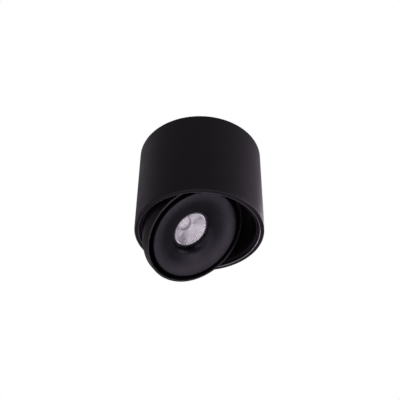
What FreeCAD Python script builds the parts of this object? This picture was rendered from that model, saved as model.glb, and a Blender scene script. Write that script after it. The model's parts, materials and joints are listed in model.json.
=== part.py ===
"""Surface mounted ceiling spotlight with a head that turns and tilts in a round housing.

The light hangs from a ceiling plate. The housing is an open tube that slides over the plate and
is held by two side screws. In the mouth of the tube lies a swivel ring, and the lamp head swings
in the two ears of that ring on curved slots, whose centre lies a little below the mouth, so that
the round head turns like a ball and always fills the opening.

Origin: centre of the top of the housing, on the ceiling. +Z is up and the light hangs below.
The head is drawn shut, facing straight down and swinging towards +X, and is then tilted and
turned to the pose it is shown in. Millimetres and degrees.
"""
import FreeCAD, Part
import math
import os

from FreeCAD import Vector

# ---------------------------------------------------------------- driving dimensions
# Housing tube
housing_diameter = 120.0
housing_height = 93.5
housing_wall = 2.7
mouth_outer_fillet = 0.9
mouth_land = 3.7               # from the outer wall to where the end face starts to round inwards
mouth_inner_rounding = 0.6
mouth_counterbore = 2.4        # depth of the wider bore behind the rounding
lip_thickness = 5.0            # from the mouth up to the shelf that carries the ring
lip_ledge = 1.2                # step from the wider bore in to the lip bore
top_chamfer = 0.6

# Swivel ring and its bearing
ring_recess = 3.0              # collar end above the mouth plane
ring_collar_wall = 1.4
ring_flange_thickness = 2.0
glide_thickness = 1.0
glide_width = 1.4
spring_gauge = 0.5
spring_height = 1.3
circlip_gauge = 1.2
circlip_depth = 1.1            # how far the circlip enters the groove in the tube
circlip_width = 3.7
circlip_gap_angle = 24.0
stop_angle = 4.0               # width of each pan stop
stop_height = 0.7

# Tilt guide: curved slots in the head, two screws in each ear of the ring
tilt_axis_drop = 5.5           # tilt centre below the mouth plane
tilt_stop = 35.0
guide_radius = 27.5            # from the tilt centre to the line of the slots
guide_half_spacing = 8.0       # angle from the middle of an ear to each of its screws
guide_screw_diameter = 4.0
guide_head_diameter = 6.2
guide_head_height = 1.6
guide_head_gap = 0.1           # between the screw heads and the round back of the can
guide_nut_flats = 5.5
guide_nut_height = 2.0
friction_washer_diameter = 7.0
inner_washer_thickness = 0.4
outer_washer_thickness = 0.8
ring_ear_thickness = 2.2
ring_ear_half_width = 9.0
slot_web = 2.0                 # metal left round a slot
head_lug_thickness = 2.0

# Head can
can_ball_gap = 0.6             # between the ball shaped back and the collar of the ring
can_band_inset = 1.8           # the straight band lies this far inside the ball
can_wall = 2.0
can_band_depth = 8.0           # straight band behind the rim
can_floor_thickness = 2.5
can_depth = 26.2
can_floor_hole_radius = 24.0
can_edge = 0.4

# Trim ring in the mouth of the can
trim_shadow_gap = 4.2          # open groove between the can and the trim ring
trim_edge_radius = 1.0
trim_crest_proud = 0.4         # crest in front of the rim of the can
trim_hole_radius = 17.0
trim_hole_depth = 9.6
trim_hole_land = 1.8
trim_throat_radius = 9.0       # the face turns down to the hole on this smaller arc
trim_throat_slope = 72.0       # steepest slope of the face, at the edge of the hole
trim_skirt_depth = 15.0
trim_wall = 1.8
trim_inside_corner = 1.0       # between the skirt and the back of the face
trim_post_radius = 3.2
trim_post_inset = 8.2          # centres of the posts inside the edge of the trim ring
trim_post_count = 3

# Reflector
reflector_wall = 0.8
reflector_mouth_gap = 0.5      # the reflector's mouth is this much smaller than the hole in radius
reflector_base_radius = 7.0
reflector_base_depth = 22.0
reflector_flange_width = 3.5
flute_count = 60
flute_depth = 0.55

# Light source
emitter_radius = 5.5
emitter_thickness = 0.4
board_side = 19.0
board_thickness = 1.0
pad_thickness = 0.3
holder_radius = 20.0
holder_height = 3.9
holder_mouth_radius = 7.6
holder_screw_circle = 16.0

# Heatsink
sink_base_inset = 3.0          # base edge inside the edge of the can's flat back
sink_base_thickness = 3.5
sink_fin_inset = 5.5           # ends of the fins inside the edge of the base
sink_fin_ring_gap = 2.0        # least gap between the fins and the circlip, at full tilt
sink_depth = 43.0              # rim of the can to the ends of the fins
sink_fin_thickness = 1.5
sink_fin_pitch = 6.0
sink_fins_each_side = 5
sink_screw_inset = 2.9         # screw centres inside the edge of the base
sink_screw_count = 4
lead_hole_offset = 25.0
lead_grommet_radius = 4.0
lead_grommet_bore = 1.8

# Ceiling plate
plate_edge_gap = 2.8           # between the plate and the bore of the housing
plate_thickness = 1.5
plate_tab_width = 20.0
plate_tab_gap = 1.4            # between the bent tabs and the bore of the housing
plate_tab_height = 13.0
plate_slot_spacing = 76.0
plate_slot_length = 10.0
plate_slot_width = 4.5
side_screw_drop = 7.5
side_screw_diameter = 4.0
side_screw_head_diameter = 7.6
side_screw_length = 8.5

# Cable entry, terminals and driver
cable_entry_x = -20.5
cable_bore_radius = 4.5
grommet_flange_radius = 9.0
grommet_neck_radius = 7.0
grommet_height = 4.5
terminal_x = -27.0
terminal_y = 24.0
terminal_length = 22.0
terminal_width = 15.0
terminal_height = 12.0
terminal_poles = 3
earth_x = -27.0
earth_y = -22.0
driver_x = 8.0
driver_width = 36.0
driver_length = 72.0
driver_height = 22.0
driver_lid_thickness = 2.0
driver_lug_reach = 8.0

# Small screws
small_screw_diameter = 3.0
small_head_diameter = 5.4
small_head_height = 1.8

# Clearances
screw_clearance = 0.1          # hole radius over screw radius
turning_gap = 0.3              # between parts that turn against each other
guide_gap = 0.25               # each side of a guide screw in its slot
seat_gap = 0.1                 # between fixed parts that nest

# Pose shown: head tilted to its stop and turned
tilt_shown = tilt_stop
pan_shown = -30.2

# ---------------------------------------------------------------- worked out from the above
outer_radius = housing_diameter / 2
bore_radius = outer_radius - housing_wall
mouth_z = -housing_height
rounding_start = outer_radius - mouth_land
rounding_end = rounding_start - mouth_inner_rounding
lip_bore = rounding_end - lip_ledge
ledge_z = mouth_z + mouth_inner_rounding + mouth_counterbore
shelf_z = mouth_z + lip_thickness
plate_radius = bore_radius - plate_edge_gap
plate_tab_reach = bore_radius - plate_tab_gap

collar_outer = lip_bore - turning_gap
collar_inner = collar_outer - ring_collar_wall
flange_outer = bore_radius - turning_gap
flange_bottom = shelf_z + glide_thickness
flange_top = flange_bottom + ring_flange_thickness
circlip_bottom = flange_top + spring_height
circlip_top = circlip_bottom + circlip_gauge
circlip_outer = bore_radius + circlip_depth
circlip_inner = circlip_outer - circlip_width

tilt_z = mouth_z - tilt_axis_drop
can_ball_radius = collar_inner - can_ball_gap
can_radius = can_ball_radius - can_band_inset
# the lugs are flush with the band, or further out where the screw heads need room by the ball
guide_head_low = guide_radius * math.cos(math.radians(guide_half_spacing)) - guide_head_diameter / 2
ball_beside_heads = math.sqrt(can_ball_radius ** 2 - guide_head_low ** 2)
lug_beside_heads = ball_beside_heads + guide_head_gap + guide_head_height + inner_washer_thickness
lug_inner = max(can_radius - head_lug_thickness, lug_beside_heads)
lug_outer = lug_inner + head_lug_thickness
ear_inner = lug_outer + outer_washer_thickness
ear_outer = ear_inner + ring_ear_thickness
slot_width = guide_screw_diameter + 2 * guide_gap
lug_half_width = slot_width / 2 + slot_web

trim_radius = can_radius - can_wall - trim_shadow_gap
crest_radius = trim_radius - trim_edge_radius
trim_post_circle = trim_radius - trim_post_inset
reflector_mouth_radius = trim_hole_radius - reflector_mouth_gap
reflector_flange_radius = reflector_mouth_radius + reflector_flange_width

can_back_radius = math.sqrt(can_ball_radius ** 2 - (can_depth + tilt_axis_drop) ** 2)
sink_base_radius = can_back_radius - sink_base_inset
sink_screw_circle = sink_base_radius - sink_screw_inset
sink_front = can_depth
# the low corner of the fins passes over the circlip when the head is tilted fully
full_tilt = math.radians(tilt_stop)
fin_end_height = (sink_depth + tilt_axis_drop) * math.cos(full_tilt)
fin_room_over_ring = fin_end_height - (circlip_top - tilt_z) - sink_fin_ring_gap
sink_fin_radius = min(sink_base_radius - sink_fin_inset, fin_room_over_ring / math.sin(full_tilt))
sink_base_back = sink_front + sink_base_thickness
floor_front = can_depth - can_floor_thickness
board_back = sink_front - pad_thickness
board_front = board_back - board_thickness
holder_front = sink_front - holder_height
reflector_flange_depth = trim_hole_depth + trim_hole_land

UP = Vector(0, 0, 1)
ORIGIN = Vector(0, 0, 0)
TILT_CENTRE = Vector(0, 0, tilt_z)


# ---------------------------------------------------------------- helpers
def turned(start, *steps):
    """Solid of revolution about Z. Points are (radius, height); a step of two points is an arc
    through the first to the second. Where two features meet at one point, its repeat is left out."""
    edges = []
    here = Vector(start[0], 0, start[1])
    first = here
    for step in steps:
        if isinstance(step[0], tuple):
            middle = Vector(step[0][0], 0, step[0][1])
            there = Vector(step[1][0], 0, step[1][1])
            edges.append(Part.Arc(here, middle, there).toShape())
        else:
            there = Vector(step[0], 0, step[1])
            if there.distanceToPoint(here) < 1e-6:
                continue
            edges.append(Part.LineSegment(here, there).toShape())
        here = there
    edges.append(Part.LineSegment(here, first).toShape())
    face = Part.Face(Part.Wire(edges))
    return face.revolve(ORIGIN, UP, 360)


def tube(inner, outer, low, high):
    """Plain ring between two radii and two heights."""
    return rod(outer, low, high).cut(rod(inner, low - 1, high + 1))


def rod(radius, low, high, x=0.0, y=0.0):
    """Upright cylinder between two heights."""
    return Part.makeCylinder(radius, high - low, Vector(x, y, low))


def block(x_range, y_range, z_range):
    """Box between three pairs of limits."""
    low = Vector(x_range[0], y_range[0], z_range[0])
    size = [x_range[1] - x_range[0], y_range[1] - y_range[0], z_range[1] - z_range[0]]
    return Part.makeBox(size[0], size[1], size[2], low)


def sector(inner, outer, low, high, middle_angle, width_angle):
    """Part of a ring, given by its middle angle and its width in degrees about Z."""
    piece = Part.makeCylinder(outer, high - low, Vector(0, 0, low), UP, width_angle)
    piece = piece.cut(rod(inner, low - 1, high + 1))
    piece.rotate(ORIGIN, UP, middle_angle - width_angle / 2)
    return piece


def prism(points, axis):
    """Flat outline of points pushed along a vector."""
    corners = list(points) + [points[0]]
    return Part.Face(Part.makePolygon(corners)).extrude(axis)


def around(shape, count, start_angle=0.0):
    """Copies of a shape evenly spaced about Z."""
    copies = []
    for index in range(count):
        copy = shape.copy()
        copy.rotate(ORIGIN, UP, start_angle + 360.0 * index / count)
        copies.append(copy)
    return copies


def depth(distance):
    """Height of a place in the shut head, from its distance behind the rim of the can."""
    return mouth_z + distance


def ball_radius_at(radius, distance):
    """Radius of a sphere about the tilt centre, cut at a distance behind the rim."""
    rise = distance + tilt_axis_drop
    return math.sqrt(radius ** 2 - rise ** 2)


def pan_head_screw(diameter, head_diameter, head_height, length):
    """Screw along Z: the head sits on z = 0 and the shank runs down from it."""
    head = Part.makeCylinder(head_diameter / 2, head_height)
    rim = [edge for edge in head.Edges if abs(edge.CenterOfMass.z - head_height) < 0.01]
    head = head.makeChamfer(head_height * 0.35, rim)
    shank = rod(diameter / 2, -length, 0)
    drive = block((-head_diameter * 0.32, head_diameter * 0.32),
                  (-0.35, 0.35), (head_height * 0.5, head_height + 1))
    return head.fuse(shank).cut(drive)


def flat_head_screw(diameter, head_diameter, length):
    """Countersunk screw along Z: the head is flush with z = 0 and the shank runs down."""
    cone_height = (head_diameter - diameter) / 2
    cone = Part.makeCone(diameter / 2, head_diameter / 2, cone_height,
                         Vector(0, 0, -cone_height))
    shank = rod(diameter / 2, -length, -cone_height / 2)
    socket = rod(diameter * 0.3, -cone_height * 0.6, 1)
    return cone.fuse(shank).cut(socket)


def countersink(diameter, head_diameter, length, gap):
    """What a flat head screw needs cut away, along Z with the face at z = 0."""
    cone_height = (head_diameter - diameter) / 2
    wide = head_diameter / 2 + gap
    cone = Part.makeCone(wide - cone_height, wide, cone_height, Vector(0, 0, -cone_height))
    return cone.fuse(rod(diameter / 2 + gap, -length, 0)).fuse(rod(wide, 0, 1))


def placed(shape, axis, position):
    """The shape with its Z axis laid along another axis and its origin moved."""
    copy = shape.copy()
    copy.Placement = FreeCAD.Placement(position, FreeCAD.Rotation(UP, axis))
    return copy


def with_ring(shape):
    """Turn a part of the swivel ring to the pan angle shown."""
    copy = shape.copy()
    copy.rotate(ORIGIN, UP, pan_shown)
    return copy


def with_head(shape):
    """Tilt a part of the shut head about the tilt centre, then turn it with the ring."""
    copy = shape.copy()
    copy.rotate(TILT_CENTRE, Vector(0, -1, 0), tilt_shown)
    return with_ring(copy)


# ---------------------------------------------------------------- ceiling plate and what it carries
def slot_cutter(x):
    """Slot for a ceiling screw, long along X."""
    half = (plate_slot_length - plate_slot_width) / 2
    radius = plate_slot_width / 2
    low = -plate_thickness - 1
    middle = block((x - half, x + half), (-radius, radius), (low, 1))
    return middle.fuse(rod(radius, low, 1, x - half)).fuse(rod(radius, low, 1, x + half))


def plate_tab(side):
    """Tab bent down from the plate, tapped for a side screw."""
    bend = plate_thickness
    half = plate_tab_width / 2
    reach = plate_tab_reach
    outline = [(reach - 8, 0), (reach - bend, 0), (reach, -bend), (reach, -plate_tab_height),
               (reach - plate_thickness, -plate_tab_height), (reach - plate_thickness, -plate_thickness),
               (reach - 8, -plate_thickness)]
    points = [Vector(side * x, -half, z) for x, z in outline]
    tab = prism(points, Vector(0, plate_tab_width, 0))
    hole = Part.makeCylinder(side_screw_diameter / 2 + screw_clearance, 20,
                             Vector(side * (reach - 10), 0, -side_screw_drop), Vector(side, 0, 0))
    return tab.cut(hole)


def driver_screw_places():
    """Where the two lugs of the driver are screwed to the plate."""
    reach = driver_length / 2 + driver_lug_reach / 2
    return [(driver_x, reach), (driver_x, -reach)]


def make_ceiling_plate():
    plate = rod(plate_radius, -plate_thickness, 0)
    inner_side = plate_tab_reach - plate_thickness
    for side in (-1, 1):
        notch_outer = block(sorted((side * (inner_side - 6), side * 70)),
                            (-plate_tab_width / 2 - 1, plate_tab_width / 2 + 1), (-5, 5))
        plate = plate.cut(notch_outer)
        bridge = block(sorted((side * (inner_side - 12), side * (inner_side - 5))),
                       (-plate_tab_width / 2, plate_tab_width / 2), (-plate_thickness, 0))
        plate = plate.fuse(bridge).fuse(plate_tab(side))
    for x in (-plate_slot_spacing / 2, plate_slot_spacing / 2):
        plate = plate.cut(slot_cutter(x))
    plate = plate.cut(rod(grommet_neck_radius + seat_gap, -5, 5, cable_entry_x))
    holes = driver_screw_places() + [(terminal_x, terminal_y), (earth_x, earth_y)]
    for x, y in holes:
        plate = plate.cut(rod(small_screw_diameter / 2 + screw_clearance, -5, 5, x, y))
    return plate.removeSplitter()


def make_cable_grommet():
    """Rubber bush in the plate, with a flange below it and a bead above the neck."""
    low = -plate_thickness - (grommet_height - plate_thickness) + seat_gap
    body = rod(grommet_flange_radius, low, -plate_thickness, cable_entry_x)
    body = body.fuse(rod(grommet_neck_radius, -plate_thickness, 0, cable_entry_x))
    return body.cut(rod(cable_bore_radius, low - 1, 1, cable_entry_x))


def make_terminal_block():
    """Connector block with a stepped wire funnel at both ends of each pole."""
    top = -plate_thickness
    body = block((terminal_x - terminal_width / 2, terminal_x + terminal_width / 2),
                 (terminal_y - terminal_length / 2, terminal_y + terminal_length / 2),
                 (top - terminal_height, top))
    pitch = terminal_length / terminal_poles
    for pole in range(terminal_poles):
        y = terminal_y + (pole - (terminal_poles - 1) / 2) * pitch
        z = top - terminal_height * 0.55
        bore = Part.makeCylinder(1.6, terminal_width + 2,
                                 Vector(terminal_x - terminal_width / 2 - 1, y, z), Vector(1, 0, 0))
        body = body.cut(bore)
        for side in (-1, 1):
            x = terminal_x + side * terminal_width * 0.28
            body = body.cut(rod(1.9, top - terminal_height - 1, z, x, y))
        if pole < terminal_poles - 1:
            groove = block((terminal_x - 20, terminal_x + 20), (y + pitch / 2 - 0.4, y + pitch / 2 + 0.4),
                           (top - terminal_height - 1, top - terminal_height + 3))
            body = body.cut(groove)
    mount = rod(small_screw_diameter / 2 + screw_clearance, top - 20, top + 1, terminal_x, terminal_y)
    return body.cut(mount)


def make_terminal_screws():
    """Clamp screws of the terminal block, heads down."""
    top = -plate_thickness
    pitch = terminal_length / terminal_poles
    z = top - terminal_height * 0.55
    screws = []
    for pole in range(terminal_poles):
        y = terminal_y + (pole - (terminal_poles - 1) / 2) * pitch
        for side in (-1, 1):
            x = terminal_x + side * terminal_width * 0.28
            screw = rod(1.8, z - 4.2, z - 1.7, x, y)
            slot = block((x - 2, x + 2), (y - 0.25, y + 0.25), (z - 5, z - 3.6))
            screws.append(screw.cut(slot))
    return Part.makeCompound(screws)


def make_terminal_fixing():
    """Screw that holds the terminal block up to the plate."""
    low = -plate_thickness - terminal_height
    screw = pan_head_screw(small_screw_diameter, small_head_diameter, small_head_height,
                           terminal_height + plate_thickness - 0.2)
    return placed(screw, Vector(0, 0, -1), Vector(terminal_x, terminal_y, low))


def make_earth_screw():
    """Earth screw with its captive square washer."""
    low = -plate_thickness
    washer = block((-4, 4), (-4, 4), (0, 1))
    screw = pan_head_screw(small_screw_diameter, small_head_diameter, small_head_height, plate_thickness + 1)
    screw.translate(Vector(0, 0, 1))
    return placed(screw.fuse(washer), Vector(0, 0, -1), Vector(earth_x, earth_y, low))


def make_driver_case():
    """Tray of the driver, open downwards, with a lug at each end."""
    top = -plate_thickness
    low = top - driver_height + driver_lid_thickness
    half_width = driver_width / 2
    half_length = driver_length / 2
    case = block((driver_x - half_width, driver_x + half_width), (-half_length, half_length), (low, top))
    upright = [edge for edge in case.Edges if edge.BoundBox.ZLength > driver_height / 2]
    case = case.makeFillet(3.0, upright)
    lugs = block((driver_x - 5, driver_x + 5),
                 (-half_length - driver_lug_reach, half_length + driver_lug_reach), (top - 2, top))
    case = case.fuse(lugs)
    for x, y in driver_screw_places():
        case = case.cut(rod(small_screw_diameter / 2 + screw_clearance, top - 5, top + 1, x, y))
    for side in (-1, 1):
        lead_mouth = Part.makeCylinder(2.6, 6, Vector(driver_x - 9, side * (half_length - 3), low + 6),
                                       Vector(0, side, 0))
        case = case.cut(lead_mouth)
    return case.removeSplitter()


def make_driver_lid():
    """Snap lid over the open side of the driver, with vent slots."""
    high = -plate_thickness - driver_height + driver_lid_thickness
    half_width = driver_width / 2
    half_length = driver_length / 2
    lid = block((driver_x - half_width, driver_x + half_width), (-half_length, half_length),
                (high - driver_lid_thickness, high))
    upright = [edge for edge in lid.Edges if edge.BoundBox.ZLength > driver_lid_thickness / 2
               and edge.BoundBox.XLength < 0.1 and edge.BoundBox.YLength < 0.1]
    lid = lid.makeFillet(3.0, upright)
    for step in range(-2, 3):
        y = step * 6.0
        vent = block((driver_x - 10, driver_x + 10), (y - 0.9, y + 0.9),
                     (high - driver_lid_thickness - 1, high - driver_lid_thickness + 0.8))
        lid = lid.cut(vent)
    return lid


def make_driver_screws():
    screws = []
    for x, y in driver_screw_places():
        screw = pan_head_screw(small_screw_diameter, small_head_diameter, small_head_height,
                               2 + plate_thickness - 0.1)
        screws.append(placed(screw, Vector(0, 0, -1), Vector(x, y, -plate_thickness - 2)))
    return Part.makeCompound(screws)


# ---------------------------------------------------------------- housing and ring bearing
def make_housing():
    """Open tube. At the mouth it thickens to a rounded lip whose top is the shelf for the ring."""
    fillet = mouth_outer_fillet
    diagonal = 1 - math.sqrt(0.5)
    r_round = mouth_inner_rounding
    body = turned(
        (outer_radius - fillet, mouth_z),
        ((outer_radius - fillet * diagonal, mouth_z + fillet * diagonal), (outer_radius, mouth_z + fillet)),
        (outer_radius, -top_chamfer),
        (outer_radius - top_chamfer, 0),
        (bore_radius, 0),
        (bore_radius, shelf_z),
        (lip_bore, shelf_z),
        (lip_bore, ledge_z),
        (rounding_end, ledge_z),
        (rounding_end, mouth_z + r_round),
        ((rounding_end + r_round * diagonal, mouth_z + r_round * diagonal), (rounding_start, mouth_z)))
    groove = tube(bore_radius - 1, circlip_outer + seat_gap / 2,
                  circlip_bottom, circlip_top + seat_gap)
    body = body.cut(groove)
    nib = sector(lip_bore + glide_width + 0.4, bore_radius + 0.5, shelf_z - 0.5, shelf_z + stop_height,
                 pan_shown + 180, stop_angle)
    body = body.fuse(nib)
    for side in (-1, 1):
        cutter = countersink(side_screw_diameter, side_screw_head_diameter, 12, 2 * screw_clearance)
        body = body.cut(placed(cutter, Vector(side, 0, 0), Vector(side * outer_radius, 0, -side_screw_drop)))
    return body.removeSplitter()


def make_side_screws():
    """Two flush screws that hold the tube to the tabs of the plate."""
    screws = []
    for side in (-1, 1):
        screw = flat_head_screw(side_screw_diameter, side_screw_head_diameter, side_screw_length)
        # a flat head in a round wall lies a hair under the surface
        place = Vector(side * (outer_radius - 0.15), 0, -side_screw_drop)
        screws.append(placed(screw, Vector(side, 0, 0), place))
    return Part.makeCompound(screws)


def make_glide_ring():
    """Slippery ring on the shelf, under the flange of the swivel ring."""
    inner = lip_bore + 0.1
    return tube(inner, inner + glide_width, shelf_z, shelf_z + glide_thickness)


def make_disc_spring():
    """Coned spring ring: its inner edge presses the flange, its outer edge the circlip."""
    inner = circlip_inner + 0.1
    outer = bore_radius - turning_gap
    return turned((inner, flange_top), (outer, circlip_bottom - spring_gauge),
                  (outer, circlip_bottom), (inner, flange_top + spring_gauge))


def make_circlip():
    """Sprung ring in the groove of the tube, open at one side, with a lug hole at each end."""
    clip = tube(circlip_inner, circlip_outer, circlip_bottom, circlip_top)
    opening = sector(circlip_inner - 2, circlip_outer + 2, circlip_bottom - 1, circlip_top + 1,
                     90, circlip_gap_angle)
    clip = clip.cut(opening)
    for side in (-1, 1):
        angle = math.radians(90 + side * (circlip_gap_angle / 2 + 2.6))
        radius = (circlip_inner + bore_radius) / 2
        clip = clip.cut(rod(0.8, circlip_bottom - 1, circlip_top + 1,
                            radius * math.cos(angle), radius * math.sin(angle)))
    return clip


# ---------------------------------------------------------------- swivel ring and tilt guide
def guide_screw_places():
    """Height and X of the two screws of an ear, on the line of the slots."""
    angles = [math.radians(sign * guide_half_spacing) for sign in (-1, 1)]
    return [(guide_radius * math.sin(a), tilt_z + guide_radius * math.cos(a)) for a in angles]


def make_swivel_ring():
    """Collar that shows in the mouth, flange that lies on the shelf, and two upright ears."""
    ring = turned(
        (collar_inner, mouth_z + ring_recess),
        (collar_outer - 0.3, mouth_z + ring_recess),
        (collar_outer, mouth_z + ring_recess + 0.3),
        (collar_outer, flange_bottom),
        (flange_outer, flange_bottom),
        (flange_outer, flange_top),
        (collar_inner, flange_top))
    tooth = sector(lip_bore + glide_width + 0.6, flange_outer, flange_bottom - stop_height,
                   flange_bottom + 0.5, 0, stop_angle)
    ring = ring.fuse(tooth)
    ear_top = tilt_z + guide_radius + guide_screw_diameter
    corner = 4.0
    half = ring_ear_half_width
    inside_clip = rod(circlip_inner - turning_gap, flange_top - 0.5, ear_top + 1)
    for side in (-1, 1):
        outline = [(-half, flange_top - 0.5), (half, flange_top - 0.5), (half, ear_top - corner),
                   (half - corner, ear_top), (corner - half, ear_top), (-half, ear_top - corner)]
        points = [Vector(x, side * ear_inner, z) for x, z in outline]
        ear = prism(points, Vector(0, side * ring_ear_thickness, 0)).common(inside_clip)
        for x, z in guide_screw_places():
            hole = Part.makeCylinder(guide_screw_diameter / 2 + screw_clearance, 20,
                                     Vector(x, side * (ear_inner - 5), z), Vector(0, side, 0))
            ear = ear.cut(hole)
        ring = ring.fuse(ear)
    return ring.removeSplitter()


def make_guide_screws():
    """Four screws, heads inside the slotted lugs, shanks through the ears."""
    head_seat = lug_inner - inner_washer_thickness
    length = ear_outer + guide_nut_height + 0.3 - head_seat
    screws = []
    for side in (-1, 1):
        for x, z in guide_screw_places():
            screw = pan_head_screw(guide_screw_diameter, guide_head_diameter, guide_head_height, length)
            screws.append(placed(screw, Vector(0, -side, 0), Vector(x, side * head_seat, z)))
    return Part.makeCompound(screws)


def hexagon(across_flats, low, high):
    """Upright hexagonal bar."""
    corner = across_flats / math.sqrt(3)
    points = []
    for index in range(6):
        angle = math.radians(60 * index)
        points.append(Vector(corner * math.cos(angle), corner * math.sin(angle), low))
    return prism(points, Vector(0, 0, high - low))


def make_guide_nuts():
    """Lock nuts on the outside of the ears."""
    nut = hexagon(guide_nut_flats + 0.7, 0, guide_nut_height)
    nut = nut.cut(rod(guide_screw_diameter / 2 + screw_clearance, -1, guide_nut_height + 1))
    nuts = []
    for side in (-1, 1):
        for x, z in guide_screw_places():
            nuts.append(placed(nut, Vector(0, side, 0), Vector(x, side * ear_outer, z)))
    return Part.makeCompound(nuts)


def make_friction_washers():
    """Washers on both sides of each slotted lug; they give the tilt its friction."""
    bore = guide_screw_diameter / 2 + screw_clearance
    washers = []
    for side in (-1, 1):
        for x, z in guide_screw_places():
            inner = tube(bore, friction_washer_diameter / 2 - 0.3, 0, inner_washer_thickness)
            outer = tube(bore, friction_washer_diameter / 2, 0, outer_washer_thickness)
            washers.append(placed(inner, Vector(0, -side, 0), Vector(x, side * lug_inner, z)))
            washers.append(placed(outer, Vector(0, side, 0), Vector(x, side * lug_outer, z)))
    return Part.makeCompound(washers)


# ---------------------------------------------------------------- head
def guide_point(angle, radius=guide_radius):
    """Place on the slot line of the shut head, by its angle from straight up towards +X."""
    a = math.radians(angle)
    return radius * math.sin(a), tilt_z + radius * math.cos(a)


def curved_bar(half_width, start_angle, end_angle, near, far):
    """Bar with round ends that follows the slot line, between two distances along Y."""
    length = far - near
    base = Vector(0, near, tilt_z)
    along = Vector(0, 1, 0)
    sweep = end_angle - start_angle
    outer = Part.makeCylinder(guide_radius + half_width, length, base, along, sweep)
    inner = Part.makeCylinder(guide_radius - half_width, length + 2, base - along, along)
    bar = outer.cut(inner)
    # the cylinder's sweep starts at the +Z side for this direction; turn it to the start angle
    bar.rotate(TILT_CENTRE, along, start_angle)
    for angle in (start_angle, end_angle):
        x, z = guide_point(angle)
        bar = bar.fuse(Part.makeCylinder(half_width, length, Vector(x, near, z), along))
    return bar


def head_lug(side):
    """Flat lug on the side of the can with the curved slot for the two guide screws."""
    near, far = sorted((side * lug_inner, side * lug_outer))
    start = -guide_half_spacing
    end = guide_half_spacing + tilt_stop
    bar = curved_bar(lug_half_width, start, end, near, far)
    root_low = depth(can_band_depth - 1)
    left, _ = guide_point(start)
    right, _ = guide_point(end)
    root = block((left - 1, right * 0.64), (near, far), (root_low, tilt_z + guide_radius * 0.86))
    inside_ring = rod(collar_inner - turning_gap, root_low - can_band_depth, flange_top)
    inside_ring = inside_ring.fuse(rod(circlip_inner - turning_gap, flange_top, 0))
    root = root.common(inside_ring)
    inside_ring.rotate(TILT_CENTRE, Vector(0, -1, 0), -tilt_stop)
    root = root.common(inside_ring)
    slack = math.degrees(guide_gap / guide_radius)
    slot = curved_bar(slot_width / 2, start - slack, end + slack, near - 1, far + 1)
    return bar.fuse(root), slot


def make_head_can():
    """Cup with a straight band at the rim and a back struck from the tilt centre."""
    wall = can_wall
    inner_ball = can_ball_radius - wall
    r_back = ball_radius_at(can_ball_radius, can_depth)
    r_mid = ball_radius_at(can_ball_radius, (can_depth + can_band_depth) / 2)
    inner = can_radius - wall
    # the round inside starts where the ball comes in to the straight inner wall, or at the band's end
    meet = max(can_band_depth, math.sqrt(inner_ball ** 2 - inner ** 2) - tilt_axis_drop)
    r_inner_ball = ball_radius_at(inner_ball, meet)
    r_floor = ball_radius_at(inner_ball, floor_front)
    r_floor_mid = ball_radius_at(inner_ball, (floor_front + meet) / 2)
    can = turned(
        (inner, depth(can_edge)),
        (inner + can_edge, depth(0)),
        (can_radius - can_edge, depth(0)),
        (can_radius, depth(can_edge)),
        (can_radius, depth(can_band_depth)),
        (ball_radius_at(can_ball_radius, can_band_depth), depth(can_band_depth)),
        ((r_mid, depth((can_depth + can_band_depth) / 2)), (r_back, depth(can_depth))),
        (can_floor_hole_radius, depth(can_depth)),
        (can_floor_hole_radius, depth(floor_front)),
        (r_floor, depth(floor_front)),
        ((r_floor_mid, depth((floor_front + meet) / 2)), (r_inner_ball, depth(meet))),
        (inner, depth(meet)))
    for side in (-1, 1):
        lug, slot = head_lug(side)
        can = can.fuse(lug).cut(slot)
    for cutter in sink_screw_shapes(small_screw_diameter / 2 + screw_clearance):
        can = can.cut(cutter)
    for x, y in trim_post_places():
        cutter = countersink(small_screw_diameter, small_head_diameter, 6, screw_clearance)
        cutter.translate(Vector(x, y, depth(can_depth)))
        can = can.cut(cutter)
    return can.removeSplitter()


def trim_post_places():
    """Centres of the posts behind the trim ring."""
    places = []
    for index in range(trim_post_count):
        angle = math.radians(360.0 * index / trim_post_count)
        places.append((trim_post_circle * math.cos(angle), trim_post_circle * math.sin(angle)))
    return places


def throat():
    """The face of the trim ring is two arcs that meet smoothly: a wide one that is level at the
    crest, and the throat arc that ends at the hole. Gives the wide arc's radius, the slope where
    they meet, and the distance from the axis and the depth of that place."""
    steep = math.radians(trim_throat_slope)
    run = crest_radius - trim_hole_radius - trim_throat_radius * math.sin(steep)
    fall = trim_hole_depth + trim_crest_proud - trim_throat_radius * (1 - math.cos(steep))
    slope = 2 * math.atan2(fall, run)
    wide = trim_throat_radius + run / math.sin(slope)
    meet_radius = crest_radius - wide * math.sin(slope)
    meet_depth = wide * (1 - math.cos(slope)) - trim_crest_proud
    return wide, slope, meet_radius, meet_depth


def funnel_point(slope, offset=0.0):
    """Place on the face of the trim ring where it has a slope, moved back square to the face."""
    wide, meet, meet_radius, meet_depth = throat()
    if slope <= meet:
        radius = crest_radius - wide * math.sin(slope)
        distance = wide * (1 - math.cos(slope)) - trim_crest_proud
    else:
        radius = meet_radius - trim_throat_radius * (math.sin(slope) - math.sin(meet))
        distance = meet_depth + trim_throat_radius * (math.cos(meet) - math.cos(slope))
    return radius + offset * math.sin(slope), depth(distance + offset * math.cos(slope))


def funnel_slope_at(radius):
    """Slope of the face at a distance from the axis."""
    wide, meet, meet_radius, meet_depth = throat()
    if radius >= meet_radius:
        return math.asin((crest_radius - radius) / wide)
    return math.asin(math.sin(meet) + (meet_radius - radius) / trim_throat_radius)


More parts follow.
